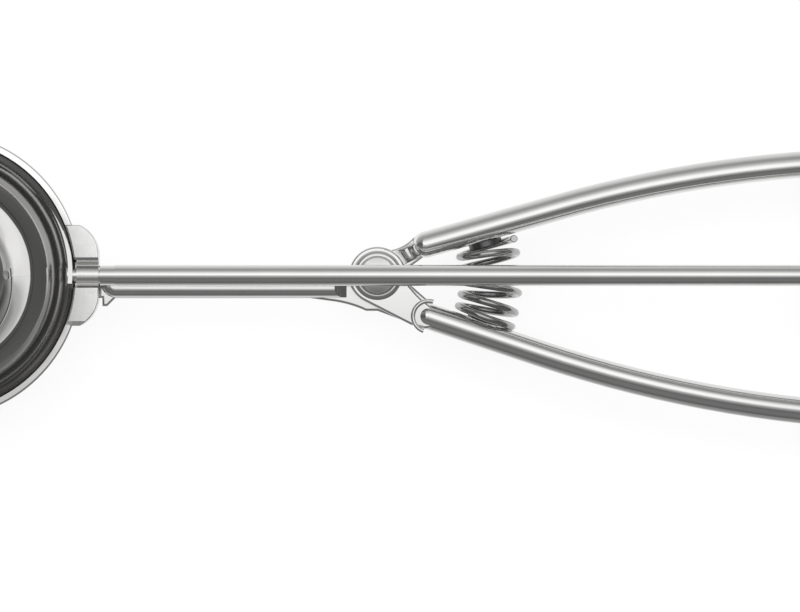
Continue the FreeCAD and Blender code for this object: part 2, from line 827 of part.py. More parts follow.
def fan_centre():
    """Where the planes of the spring's two end turns meet, seen from above."""
    lift = size("spring_wire") / 2
    low = LOWER.at(0, LOWER.offset - LOWER.half - lift)
    high = UPPER.at(0, UPPER.offset - UPPER.half - lift - size("spring_seat_gap"))
    run_low = LOWER.at(1, 0) - LOWER.at(0, 0)
    run_high = UPPER.at(1, 0) - UPPER.at(0, 0)
    cross = run_low.x * run_high.y - run_low.y * run_high.x
    gap = high - low
    step = (gap.x * run_high.y - gap.y * run_high.x) / cross
    return low + run_low * step


def spring_point(progress):
    """A point on the middle of the wire. The two end turns begin flat against their seats."""
    turns = size("spring_turns")
    flat = size("spring_flat_turns")
    share = min(max((turns * progress - flat) / (turns - 2 * flat), 0.0), 1.0)
    angle = -LOWER.slope + (LOWER.slope + UPPER.slope) * share
    around = 2 * math.pi * turns * progress
    reach = size("spring_reach") + size("spring_radius") * math.cos(around)
    lift = size("spring_radius") * math.sin(around)
    flat_point = Vector(reach * math.cos(angle), reach * math.sin(angle), LEVEL + lift)
    return fan_centre() + flat_point


def spring_heading(progress):
    step = 1e-4
    heading = spring_point(progress + step) - spring_point(progress - step)
    return heading.normalize()


def biarc(start, start_heading, end, end_heading):
    """Two arcs that leave and arrive with the given headings and meet with one heading."""
    gap = end - start
    both = start_heading + end_heading
    a = 2 * (1 - start_heading.dot(end_heading))
    b = 2 * gap.dot(both)
    c = -gap.dot(gap)
    reach = (-b + math.sqrt(b * b - 4 * a * c)) / (2 * a)
    knee_one = start + start_heading * reach
    knee_two = end - end_heading * reach
    meet = (knee_one + knee_two) * 0.5
    edges = []
    for one, knee, two in ((start, knee_one, meet), (meet, knee_two, end)):
        chord_middle = (one + two) * 0.5
        half_chord = (two - one).Length / 2
        to_knee = knee - chord_middle
        rise = to_knee.Length
        turn = math.atan2(rise, half_chord)
        sagitta = half_chord * math.tan(turn / 2)
        crest = chord_middle + to_knee * (sagitta / rise)
        edges.append(Part.Arc(one, crest, two).toShape())
    return edges


def make_return_spring():
    """A compression spring whose turns fan out between the handles, as one wound wire."""
    steps = int(4 * size("spring_turns"))
    wire = size("spring_wire")
    edges = []
    first = spring_point(0)
    heading = spring_heading(0)
    edges.append(Part.LineSegment(first - heading * wire, first).toShape())
    for index in range(steps):
        here, there = index / steps, (index + 1) / steps
        edges += biarc(
            spring_point(here), spring_heading(here), spring_point(there), spring_heading(there)
        )
    last = spring_point(1)
    last_heading = spring_heading(1)
    edges.append(Part.LineSegment(last, last + last_heading * wire).toShape())
    path = Part.Wire(edges)
    circle = Part.Circle(first - heading * wire, heading, wire / 2)
    tube = path.makePipeShell([Part.Wire(circle.toShape())], True, False)
    spring = doc.addObject("Part::Feature", "return_spring")
    spring.Label = "return_spring"
    spring.Shape = tube
    report_spring(path, tube)
    return spring


def report_spring(path, tube):
    """Prints the wire's volume against its length and its least gap to itself."""
    wire = size("spring_wire")
    points = path.discretize(Number=800)
    spacing = path.Length / 799
    apart = int(math.pi * size("spring_radius") / spacing)
    least = min(
        (points[i] - points[j]).Length
        for i in range(len(points))
        for j in range(i + apart, len(points))
    )
    section = math.pi * wire * wire / 4
    print("spring volume share", round(tube.Volume / (section * path.Length), 4))
    print("spring least gap to itself", round(least - wire, 3))


def make_peg(label, handle, reach):
    """The short round peg that centres the spring on a handle's inner side."""
    radius = size("peg_radius")
    height = size("peg_height")
    edge = size("peg_edge")
    foot = handle.at(reach, handle.offset - handle.half, LEVEL)
    inward = handle.at(0, -1) - handle.at(0, 0)
    place = FreeCAD.Placement(foot, FreeCAD.Rotation(Z_AXIS, inward))
    body = new_body(label, place)
    sketch = new_sketch(body, "peg_profile", "XZ_Plane")
    peg = Outline(sketch, 0, 0)
    peg.line_to(radius, 0)
    peg.line_to(radius, height - edge)
    peg.arc_to(radius - edge, height, radius - edge, height - edge)
    peg.line_to(0, height)
    peg.close()
    turned(body, "peg", sketch, "V_Axis", Angle=360)
    return body


def peg_reach(handle):
    """How far along the handle the spring's middle lies."""
    angle = handle.side * handle.slope
    centre = fan_centre()
    middle = centre + Vector(math.cos(angle), math.sin(angle), 0) * size("spring_reach")
    return handle.place.inverse().multVec(middle).x


# Rack, pinion and their riveted feet


def add_foot(body, handle, span):
    """A plate on the handle's inner side that follows its curve."""
    start, end = span
    inside = body.Placement.inverse()
    face = -handle.half
    back = face - size("foot_thickness")
    offset = shifted(0, 0, LEVEL - size("foot_height") / 2)
    sketch = new_sketch(body, "foot_outline", offset=offset)
    centre = inside.multVec(handle.arc_point(0.0, -handle.radius))
    corners = [(start, face), (end, face), (end, back), (start, back)]
    points = [inside.multVec(handle.arc_point(turn, across)) for turn, across in corners]
    clockwise = handle.side > 0
    plan = Outline(sketch, points[0].x, points[0].y)
    plan.arc_to(points[1].x, points[1].y, centre.x, centre.y, clockwise)
    plan.line_to(points[2].x, points[2].y)
    plan.arc_to(points[3].x, points[3].y, centre.x, centre.y, not clockwise)
    plan.close()
    feature(body, "Pad", "foot", sketch, length="Sizes.foot_height")
    doc.recompute()


def make_gear_rack():
    """A toothed arc about the pivot, riveted to the moving handle's inner side by its foot."""
    radius = size("rack_radius")
    half = size("rack_width") / 2
    root = -PINION_RADIUS - size("gear_root_depth")
    free = -math.pi * size("gear_module") / radius
    _, fixed = rack_end()
    near, far = radius - half, radius + half
    body = new_body("gear_rack", shifted(PIVOT_REACH, 0, 0))
    sketch = new_sketch(body, "rack_outline", offset=shifted(0, 0, root - size("rack_body")))
    plan = Outline(sketch, near * math.cos(free), near * math.sin(free))
    plan.line_to(far * math.cos(free), far * math.sin(free))
    plan.arc_to(far * math.cos(fixed), far * math.sin(fixed), 0, 0)
    plan.line_to(near * math.cos(fixed), near * math.sin(fixed))
    plan.arc_to(plan.first.x, plan.first.y, 0, 0, clockwise=True)
    plan.close()
    height = "Sizes.rack_body + Sizes.gear_root_depth + Sizes.gear_addendum"
    feature(body, "Pad", "rack_bar", sketch, length=height)
    cut_rack_teeth(body, root)
    add_foot(body, UPPER, rack_foot_span())
    rivet_holes(body, UPPER, rack_rivet_turns())
    return body


def cut_rack_teeth(body, root):
    """Straight-sided gaps that point at the pivot, the second one right under the pinion."""
    slope = math.tan(math.radians(size("pressure_angle")))
    pitch = math.pi * size("gear_module")
    half_gap = (pitch / 2 + size("gear_backlash") / 2) / 2
    rise = size("gear_root_depth") + 2 * size("gear_addendum")
    low = half_gap - size("gear_root_depth") * slope
    high = low + rise * slope
    step = math.degrees(pitch / size("rack_radius"))
    sketch = new_sketch(body, "tooth_gap", "YZ_Plane", shifted(0, 0, 0, -step))
    polygon(sketch, [(-low, root), (low, root), (high, root + rise), (-high, root + rise)])
    reach = 2 * size("rack_radius")
    gap = checked_cut(body, "Pocket", "tooth_gap_cut", sketch, Length=reach, Reversed=True)
    gaps = int(size("rack_gap_count"))
    repeat(body, gap, "Z_Axis", gaps, step * (gaps - 1))


def repeat(body, original, role, count, angle):
    """Repeats one cut evenly about an axis of the body."""
    axis = [f for f in body.Origin.OriginFeatures if f.Role == role][0]
    before = body.Shape.Volume
    pattern = body.newObject("PartDesign::PolarPattern", original.Name + "_repeat")
    pattern.Originals = [original]
    pattern.Axis = (axis, [""])
    pattern.Angle = angle
    pattern.Occurrences = count
    body.Tip = pattern
    doc.recompute()
    if not body.Shape.Volume < before - 1e-6:
        raise RuntimeError(original.Name + " was not repeated")


def make_drive_pinion():
    """A small spur gear with a hub, its lowest tooth standing in the rack's gap at rest."""
    module = size("gear_module")
    teeth = int(size("pinion_teeth"))
    tip = PINION_RADIUS + size("gear_addendum")
    width = size("rack_width")
    start = PINION_REACH - width / 2
    body = new_body("drive_pinion")
    blank = new_sketch(body, "blank", "YZ_Plane", shifted(0, 0, start))
    circle_in(blank, "Sizes.gear_module * Sizes.pinion_teeth / 2 + Sizes.gear_addendum", tip)
    feature(body, "Pad", "toothed_disc", blank, length="Sizes.rack_width")
    step = 2 * math.pi / teeth
    gap = new_sketch(body, "tooth_space", "YZ_Plane", shifted(0, 0, start + width))
    draw_tooth_space(gap, -math.pi / 2 + step / 2, tip)
    cut = checked_cut(body, "Pocket", "tooth_space_cut", gap, length="Sizes.rack_width")
    repeat(body, cut, "X_Axis", teeth, 360)
    hub = new_sketch(body, "hub", "YZ_Plane", shifted(0, 0, start))
    circle_in(hub, "Sizes.pinion_hub_radius", size("pinion_hub_radius"))
    feature(body, "Pad", "hub_pad", hub, length="Sizes.pinion_hub_length", Reversed=True)
    bore = new_sketch(body, "bore", "YZ_Plane", shifted(0, 0, PINION_REACH + width))
    circle_in(bore, "Sizes.rod_radius", size("rod_radius"))
    checked_cut(body, "Pocket", "bore_cut", bore, Length=4 * width)
    cross_hole(body)
    return body


def draw_tooth_space(sketch, middle, tip):
    """The space between two teeth. Its flanks follow the involute of the base circle."""
    pressure = math.radians(size("pressure_angle"))
    base = PINION_RADIUS * math.cos(pressure)
    root = PINION_RADIUS - size("gear_root_depth")
    beyond = tip + size("gear_addendum")
    pitch = math.pi * size("gear_module")
    half = (pitch / 2 + size("gear_backlash") / 2) / 2 / PINION_RADIUS

    def involute(angle):
        return math.tan(angle) - angle

    def flank(radius, side):
        slope = math.acos(min(base / radius, 1.0))
        spread = half - involute(pressure) + involute(slope)
        angle = middle + side * spread
        return radius * math.cos(angle), radius * math.sin(angle)

    def along(point, radius):
        scale = radius / math.hypot(*point)
        return point[0] * scale, point[1] * scale

    space = Outline(sketch, *along(flank(base, -1), root))
    space.arc_to(*along(flank(base, 1), root), 0, 0)
    space.line_to(*flank(base, 1))
    space.arc_through(*flank((base + tip) / 2, 1), *flank(tip, 1))
    space.line_to(*along(flank(tip, 1), beyond))
    space.line_to(*along(flank(tip, -1), beyond))
    space.line_to(*flank(tip, -1))
    space.arc_through(*flank((base + tip) / 2, -1), *flank(base, -1))
    space.close()


def cross_pin_reach():
    return PINION_REACH - size("rack_width") / 2 - size("pinion_hub_length") / 2


def cross_hole(body):
    """The hole for the pin that fixes the pinion on the rod."""
    high = 2 * size("pinion_hub_radius")
    sketch = new_sketch(body, "cross_hole", offset=shifted(0, 0, high))
    circle_in(sketch, "Sizes.pinion_pin_radius", size("pinion_pin_radius"), cross_pin_reach())
    checked_cut(body, "Pocket", "cross_hole_cut", sketch, Length=2 * high)


def make_pinion_pin():
    pin = doc.addObject("Part::Cylinder", "pinion_pin")
    pin.Label = "pinion_pin"
    pin.setExpression("Radius", "Sizes.pinion_pin_radius")
    pin.setExpression("Height", "2 * Sizes.pinion_hub_radius - 2 * Sizes.running_gap")
    half = size("pinion_hub_radius") - size("running_gap")
    pin.Placement = shifted(cross_pin_reach(), 0, -half)
    return pin


def make_foot_rivets(label, handle, turns):
    """Two rivets alike, each through the handle and the foot on its inner side."""
    body_list = []
    head = size("foot_rivet_head_height")
    radius = size("foot_rivet_head_radius")
    shank = size("foot_rivet_radius")
    outer = handle.half
    inner = -handle.half - size("foot_thickness")
    edge = size("foot_rivet_edge")
    for number, turn in enumerate(turns, start=1):
        point = handle.arc_point(turn)
        outward = handle.arc_point(turn, 1.0) - point
        seat = Vector(point.x, point.y, LEVEL)
        place = FreeCAD.Placement(seat, FreeCAD.Rotation(Z_AXIS, outward))
        body = new_body("%s_%d" % (label, number), place)
        sketch = new_sketch(body, "rivet_profile", "XZ_Plane")
        profile = Outline(sketch, 0, outer + head)
        profile.line_to(radius - edge, outer + head)
        profile.arc_to(
            radius, outer + head - edge, radius - edge, outer + head - edge, clockwise=True
        )
        profile.line_to(radius, outer)
        profile.line_to(shank, outer)
        profile.line_to(shank, inner)
        profile.line_to(radius, inner)
        profile.line_to(radius, inner - head + edge)
        profile.arc_to(
            radius - edge, inner - head, radius - edge, inner - head + edge, clockwise=True
        )
        profile.line_to(0, inner - head)
        profile.close()
        turned(body, "rivet", sketch, "V_Axis", Angle=360)
        body_list.append(body)
    group = doc.addObject("Part::Compound", label)
    group.Links = body_list
    group.Label = label
    return group


# Rod, its bearings and the scraper


def rod_shoulder():
    return REAR_REACH - size("rear_flange_thickness") - size("running_gap")


def clip_start():
    return REAR_REACH + size("rear_plate") + size("running_gap")


def make_drive_rod():
    """The long rod: crimped nose with a socket for the stub shaft, and a turned-down rear end."""
    radius = size("rod_radius")
    nose = size("rod_nose_radius")
    slim = size("shaft_radius")
    start = NECK_REACH + size("running_gap")
    socket = size("shaft_radius") + size("socket_clearance")
    groove = slim - size("clip_groove_depth")
    end = clip_start() + size("clip_thickness") + size("rod_end_length")
    body = new_body("drive_rod")
    sketch = new_sketch(body, "rod_profile", "XZ_Plane")
    points = [
        (start, socket),
        (start, nose),
        (start + size("rod_nose_length"), nose),
        (start + size("rod_nose_length"), radius),
        (rod_shoulder(), radius),
        (rod_shoulder(), slim),
        (clip_start(), slim),
        (clip_start(), groove),
        (clip_start() + size("clip_thickness"), groove),
        (clip_start() + size("clip_thickness"), slim),
        (end, slim),
        (end, 0),
        (start + size("shaft_socket"), 0),
        (start + size("shaft_socket"), socket),
    ]
    polygon(sketch, points)
    turned(body, "rod", sketch, "H_Axis", Angle=360)
    cross_hole(body)
    return body


def make_rod_end_clip():
    """A split ring sprung into the groove at the rod's rear end."""
    outer = size("clip_radius")
    inner = size("shaft_radius") - size("clip_groove_depth")
    half = size("clip_opening") / 2
    outer_angle = math.asin(half / outer)
    inner_angle = math.asin(half / inner)
    body = new_body("rod_end_clip")
    sketch = new_sketch(body, "clip_outline", "YZ_Plane", shifted(0, 0, clip_start()))
    plan = Outline(sketch, inner * math.cos(inner_angle), half)
    plan.line_to(outer * math.cos(outer_angle), half)
    rim = plan.arc_to(outer * math.cos(outer_angle), -half, 0, 0)
    plan.line_to(inner * math.cos(inner_angle), -half)
    plan.arc_to(plan.first.x, plan.first.y, 0, 0, clockwise=True)
    plan.close()
    fix_radius(sketch, rim, "Sizes.clip_radius")
    feature(body, "Pad", "clip", sketch, length="Sizes.clip_thickness")
    return body


def make_rear_bush():
    reach = REAR_REACH
    bore = size("shaft_radius") + size("fit_clearance")
    body = new_body("rear_bush")
    sketch = new_sketch(body, "bush_profile", "XZ_Plane")
    points = [
        (reach - size("rear_flange_thickness"), bore),
        (reach - size("rear_flange_thickness"), size("rear_flange_radius")),
        (reach, size("rear_flange_radius")),
        (reach, size("rear_bush_radius")),
        (reach + size("rear_plate"), size("rear_bush_radius")),
        (reach + size("rear_plate"), bore),
    ]
    polygon(sketch, points)
    turned(body, "bush", sketch, "H_Axis", Angle=360)
    return body


def make_rear_bracket():
    """A foot on the fixed handle and a plate that rises from it to the ring round the rod."""
    ring_radius = size("rear_ring_radius")
    half = size("foot_height") / 2
    _, end = rear_foot_span()
    foot = LOWER.arc_point(end, -LOWER.half - size("foot_thickness") / 2)
    body = new_body("rear_bracket")
    add_foot(body, LOWER, rear_foot_span())
    sketch = new_sketch(body, "plate_outline", "YZ_Plane", shifted(0, 0, REAR_REACH))
    low = tangent_angle(foot.y, LEVEL - half, ring_radius, -1)
    high = tangent_angle(foot.y, LEVEL + half, ring_radius, 1)
    plan = Outline(sketch, foot.y, LEVEL - half)
    plan.line_to(ring_radius * math.cos(low), ring_radius * math.sin(low))
    rim = plan.arc_to(ring_radius * math.cos(high), ring_radius * math.sin(high), 0, 0)
    plan.line_to(foot.y, LEVEL + half)
    plan.close()
    fix_radius(sketch, rim, "Sizes.rear_ring_radius")
    feature(body, "Pad", "plate", sketch, length="Sizes.rear_plate")
    doc.recompute()
    hole = new_sketch(body, "bush_hole", "YZ_Plane", shifted(0, 0, NECK_REACH))
    circle_in(hole, "Sizes.rear_bush_radius", size("rear_bush_radius"))
    reach = 2 * REAR_REACH
    checked_cut(body, "Pocket", "bush_hole_cut", hole, Length=reach, Reversed=True)
    rivet_holes(body, LOWER, rear_rivet_turns())
    return body


def tangent_angle(x, y, radius, side):
    """The angle on a circle round the origin at which a line from outside touches it."""
    toward = math.atan2(y, x)
    spread = math.acos(radius / math.hypot(x, y))
    return toward - side * spread


def make_scraper_shaft():
    """The stub shaft through the neck bush, headed inside the blade and held in the rod."""
    seat = blade_seat(size("shaft_head_radius"))
    height = size("shaft_head_height")
    radius = size("shaft_radius")
    head = size("shaft_head_radius")
    end = NECK_REACH + size("running_gap") + size("shaft_socket")
    body = new_body("scraper_shaft")
    sketch = new_sketch(body, "shaft_profile", "XZ_Plane")
    profile = Outline(sketch, seat - height, 0)
    profile.line_to(seat - height, head - height / 2)
    profile.arc_to(
        seat - height / 2, head, seat - height / 2, head - height / 2, clockwise=True
    )
    profile.line_to(seat, head)
    profile.line_to(seat, radius)
    profile.line_to(end, radius)
    profile.line_to(end, 0)
    profile.close()
    turned(body, "shaft", sketch, "H_Axis", Angle=360)
    return body


def blade_seat(radius):
    """How far out a flat disc of a given radius sits against the blade's hollow side."""
    inner = size("bowl_radius") - size("blade_gap") - size("blade_thickness")
    return math.sqrt(inner * inner - radius * radius)


def make_scraper_blade():
    """A band cut from a thin sphere, narrowing to a tab with a hole at each end."""
    outer_size = "Sizes.bowl_radius - Sizes.blade_gap"
    outer = doc.addObject("Part::Sphere", "blade_outside")
    outer.setExpression("Radius", outer_size)
    inner = doc.addObject("Part::Sphere", "blade_inside")
    inner.setExpression("Radius", outer_size + " - Sizes.blade_thickness")
    shell = doc.addObject("Part::Cut", "blade_shell")
    shell.Base, shell.Tool = outer, inner
    reach = size("bowl_radius") - size("blade_gap") / 2
    half = size("blade_width") / 2
    end_half = size("blade_end_width") / 2
    outline = doc.addObject("Sketcher::SketchObject", "blade_outline")
    outline.Placement = FreeCAD.Placement(Vector(), FreeCAD.Rotation(X_AXIS, 90))
    band = Outline(outline, -reach, -end_half)
    band.arc_through(0, -half, reach, -end_half)
    band.line_to(reach, end_half)
    band.arc_through(0, half, -reach, end_half)
    band.close()
    slab = doc.addObject("Part::Extrusion", "blade_slab")
    slab.Base = outline
    slab.Dir = Y_AXIS
    slab.Solid = True
    slab.setExpression("LengthFwd", "Sizes.bowl_radius + Sizes.bowl_wall")
    slab.setExpression("LengthRev", "Sizes.blade_end_reach")
    strip = doc.addObject("Part::Common", "blade_band")
    strip.Base, strip.Tool = shell, slab
    tools = []
    for name, extra, turn in (("shaft", "", 90), ("pin", " + Sizes.fit_clearance", -90)):
        hole = doc.addObject("Part::Cylinder", "blade_%s_hole" % name)
        hole.setExpression("Radius", "Sizes.shaft_radius" + extra)
        hole.setExpression("Height", "Sizes.bowl_radius + Sizes.bowl_wall")
        hole.Placement = shifted(0, 0, 0, turn)
        tools.append(hole)
    holes = doc.addObject("Part::MultiFuse", "blade_holes")
    holes.Shapes = tools
    blade = doc.addObject("Part::Cut", "scraper_blade")
    blade.Base, blade.Tool = strip, holes
    blade.Label = "scraper_blade"
    turn = FreeCAD.Rotation(X_AXIS, -size("blade_rest_angle"))
    blade.Placement = FreeCAD.Placement(Vector(), turn)
    return blade


# Build, check and write out

PARTS = [
    make_bowl(),
    make_neck_bracket(),
    make_neck_bush(),
    make_tip_pivot_pin(),
    make_stem_arm(),
    make_lower_handle(),
    make_upper_handle(),
    make_pivot_rivet(),
    make_pivot_washer(),
    make_return_spring(),
    make_peg("lower_spring_peg", LOWER, peg_reach(LOWER)),
    make_peg("upper_spring_peg", UPPER, peg_reach(UPPER)),
    make_gear_rack(),
    make_foot_rivets("rack_rivets", UPPER, rack_rivet_turns()),
    make_drive_pinion(),
    make_pinion_pin(),
    make_rear_bracket(),
    make_foot_rivets("rear_bracket_rivets", LOWER, rear_rivet_turns()),
    make_rear_bush(),
    make_drive_rod(),
    make_rod_end_clip(),
    make_scraper_shaft(),
    make_scraper_blade(),
]

doc.recompute()
for item in doc.Objects:
    if "Invalid" in item.State or "Error" in item.State:
        raise RuntimeError(item.Label + " did not rebuild")
os.makedirs("parts", exist_ok=True)
for part in PARTS:
    shape = part.Shape
    if shape.isNull() or not shape.isValid() or not shape.Solids:
        raise RuntimeError(part.Label + " is not a sound solid")
    shape.exportStep("parts/" + part.Label + ".step")
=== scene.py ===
import math
import bpy
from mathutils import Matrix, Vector


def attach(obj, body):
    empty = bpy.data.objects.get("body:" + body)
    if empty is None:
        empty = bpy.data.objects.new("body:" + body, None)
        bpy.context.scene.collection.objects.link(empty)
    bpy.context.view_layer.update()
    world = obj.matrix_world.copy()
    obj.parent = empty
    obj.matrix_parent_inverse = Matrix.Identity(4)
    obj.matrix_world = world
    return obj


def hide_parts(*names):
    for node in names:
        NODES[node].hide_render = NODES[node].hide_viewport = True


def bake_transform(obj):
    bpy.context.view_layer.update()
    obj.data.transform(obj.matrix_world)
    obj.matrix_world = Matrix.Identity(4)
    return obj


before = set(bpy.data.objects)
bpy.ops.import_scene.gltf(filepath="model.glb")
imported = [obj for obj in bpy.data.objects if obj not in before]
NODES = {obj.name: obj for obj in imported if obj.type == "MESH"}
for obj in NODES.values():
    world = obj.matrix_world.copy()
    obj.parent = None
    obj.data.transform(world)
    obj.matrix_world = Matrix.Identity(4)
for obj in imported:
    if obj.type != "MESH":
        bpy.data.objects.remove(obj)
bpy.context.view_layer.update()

MM = 0.001


def put(name, data):
    """An object that shows the data, linked into the scene."""
    made = bpy.data.objects.new(name, data)
    bpy.context.scene.collection.objects.link(made)
    return made


# Node trees


class Tree:
    """A short way to add and join shader nodes in a material or world."""

    def __init__(self, owner):
        owner.use_nodes = True
        self.tree = owner.node_tree
        self.tree.nodes.clear()

    def add(self, kind, inputs=None, **settings):
        made = self.tree.nodes.new("ShaderNode" + kind)
        for key, setting in settings.items():
            setattr(made, key, setting)
        for key, value in (inputs or {}).items():
            socket = made.inputs[key]
            if isinstance(value, bpy.types.NodeSocket):
                self.tree.links.new(value, socket)
            else:
                socket.default_value = value
        return made

    def math(self, operation, a, b=0.0, c=0.0):
        return self.add("Math", {0: a, 1: b, 2: c}, operation=operation).outputs[0]

    def ramp(self, factor, stops, interpolation="LINEAR"):
        made = self.add("ValToRGB", {"Fac": factor})
        ramp = made.color_ramp
        ramp.interpolation = interpolation
        while len(ramp.elements) < len(stops):
            ramp.elements.new(1.0)
        for element, (place, value) in zip(ramp.elements, stops):
            element.position = place
            element.color = value if isinstance(value, tuple) else (value, value, value, 1.0)
        return made.outputs["Color"]

    def mix(self, factor, a, b, blend="MIX"):
        made = self.add("Mix", data_type="RGBA", blend_type=blend)
        sockets = [s for s in made.inputs if s.enabled]
        for socket, value in zip(sockets, (factor, a, b)):
            if isinstance(value, bpy.types.NodeSocket):
                self.tree.links.new(value, socket)
            elif socket.type == "RGBA" and not isinstance(value, tuple):
                socket.default_value = (value, value, value, 1.0)
            else:
                socket.default_value = value
        return [s for s in made.outputs if s.enabled][0]

    def remap(self, value, start, end, low=0.0, high=1.0):
        """The value carried from start and end to low and high, and held beyond them."""
        limits = {"From Min": start, "From Max": end, "To Min": low, "To Max": high}
        return self.add("MapRange", {"Value": value, **limits}).outputs["Result"]

    def noise(self, place, scale, detail):
        settings = {"Vector": place, "Scale": scale, "Detail": detail}
        return self.add("TexNoise", settings).outputs["Fac"]

    def squares(self, a, b):
        return self.math("MULTIPLY_ADD", a, a, self.math("MULTIPLY", b, b))


# Steel finishes

STEEL_TINT = (1.0, 0.997, 0.99)
CLOUD_SCALE = 90.0
FINE_SCALE = 1500.0
DENT_SCALE = 160.0
MARK_DEPTH = 0.004 * MM
DENT_DEPTH = 0.05 * MM
MARKS_ALONG = 60.0


def steel(name, tone, rough, lines=None, spread=0.02, grain=0.35, dents=0.0, wall_shade_share=None):
    """Polished or satin steel. The lines say which way the polishing marks run.

    The wall shade share is the brightness that the bowl's worn inner wall keeps under the painted
    shade there, which stands in for its dark reflections.
    """
    material = bpy.data.materials.new(name)
    t = Tree(material)
    place = t.add("TexCoord").outputs["Object"]
    cloud = t.noise(place, CLOUD_SCALE, 4.0)
    low = tuple((tone - spread) * c for c in STEEL_TINT) + (1.0,)
    high = tuple((tone + spread) * c for c in STEEL_TINT) + (1.0,)
    colour = t.ramp(cloud, [(0.3, low), (0.7, high)])
    marks = line_marks(t, place, *lines) if lines else t.noise(place, FINE_SCALE, 3.0)
    worn = t.math("MULTIPLY_ADD", cloud, 0.5, t.math("MULTIPLY", marks, 0.5))
    roughness = t.remap(worn, 0.3, 0.7, *rough)
    if wall_shade_share:
        wall, floor = bowl_wear_and_shade(t, place)
        roughness = t.math("MULTIPLY_ADD", wall, WALL_WEAR_ROUGHNESS, roughness)
        roughness = t.math("MULTIPLY_ADD", floor, FLOOR_WEAR_ROUGHNESS, roughness)
        # Painted shade: the colour is darkened on the bowl's inner wall and in its floor's middle,
        # standing in for dark reflections.
        colour = t.mix(wall, colour, t.mix(1.0, colour, wall_shade_share, blend="MULTIPLY"))
        colour = t.mix(floor, colour, t.mix(1.0, colour, FLOOR_SHADE_SHARE, blend="MULTIPLY"))
    bump = {"Height": marks, "Strength": grain, "Distance": MARK_DEPTH}
    normal = t.add("Bump", bump).outputs["Normal"]
    if dents:
        wave = t.noise(place, DENT_SCALE, 1.0)
        bump = {"Height": wave, "Strength": dents, "Distance": DENT_DEPTH, "Normal": normal}
        normal = t.add("Bump", bump).outputs["Normal"]
    settings = {"Base Color": colour, "Metallic": 1.0, "Roughness": roughness, "Normal": normal}
    shader = t.add("BsdfPrincipled", settings)
    t.add("OutputMaterial", {"Surface": shader.outputs[0]})
    return material


# The middle of the bowl's wall, which parts its inside from its outside, and the limits of the wear
# and of the painted shade.
BOWL_MIDDLE_RADIUS = 26.35 * MM
WALL_WEAR_AND_SHADE_START = (-19.0 * MM, -15.0 * MM)
WALL_WEAR_AND_SHADE_END = (1.5 * MM, -0.5 * MM)
WALL_WEAR_ROUGHNESS = 0.03
FLOOR_WEAR_AND_SHADE_RADIUS = (10.8 * MM, 8.6 * MM)
FLOOR_WEAR_ROUGHNESS = 0.08
FLOOR_SHADE_SHARE = 0.45
WEAR_AND_SHADE_SCALE = 110.0


def bowl_wear_and_shade(t, place):
    """Patchy masks inside the bowl, on the wall to just below the rim and in its floor's middle.
    They add wear to the roughness and painted shade to the colour.
    """
    x, y, z = t.add("SeparateXYZ", {0: place}).outputs
    radius = t.add("VectorMath", {0: place}, operation="LENGTH").outputs["Value"]
    inside = t.math("LESS_THAN", radius, BOWL_MIDDLE_RADIUS)
    patches = t.ramp(t.noise(place, WEAR_AND_SHADE_SCALE, 2.0), [(0.35, 0.7), (0.65, 1.0)])
    share = t.math("MULTIPLY", inside, patches)
    band = t.math("MULTIPLY", t.remap(z, *WALL_WEAR_AND_SHADE_START), t.remap(z, *WALL_WEAR_AND_SHADE_END))
    middle = t.remap(t.math("SQRT", t.squares(x, y)), *FLOOR_WEAR_AND_SHADE_RADIUS)
    return t.math("MULTIPLY", share, band), t.math("MULTIPLY", share, middle)


def line_marks(t, place, kind, turn=0.0, across=9000.0):
    """Fine marks along one direction, or in rings about the upright or about the rod's axis."""
    if kind == "straight":
        turned = {"Rotation": (0, 0, -turn), "Scale": (MARKS_ALONG, across, across)}
        vector = t.add("Mapping", {"Vector": place, **turned}).outputs["Vector"]
    else:
        split = t.add("SeparateXYZ", {0: place}).outputs
        first, second, third = {"rings": (0, 1, 2), "rod_rings": (1, 2, 0)}[kind]
        radius = t.math("SQRT", t.squares(split[first], split[second]))
        radius = t.math("MULTIPLY", radius, across)
        height = t.math("MULTIPLY", split[third], across)
        vector = t.add("CombineXYZ", {0: radius, 1: height}).outputs[0]
    return t.noise(vector, 1.0, 5.0)


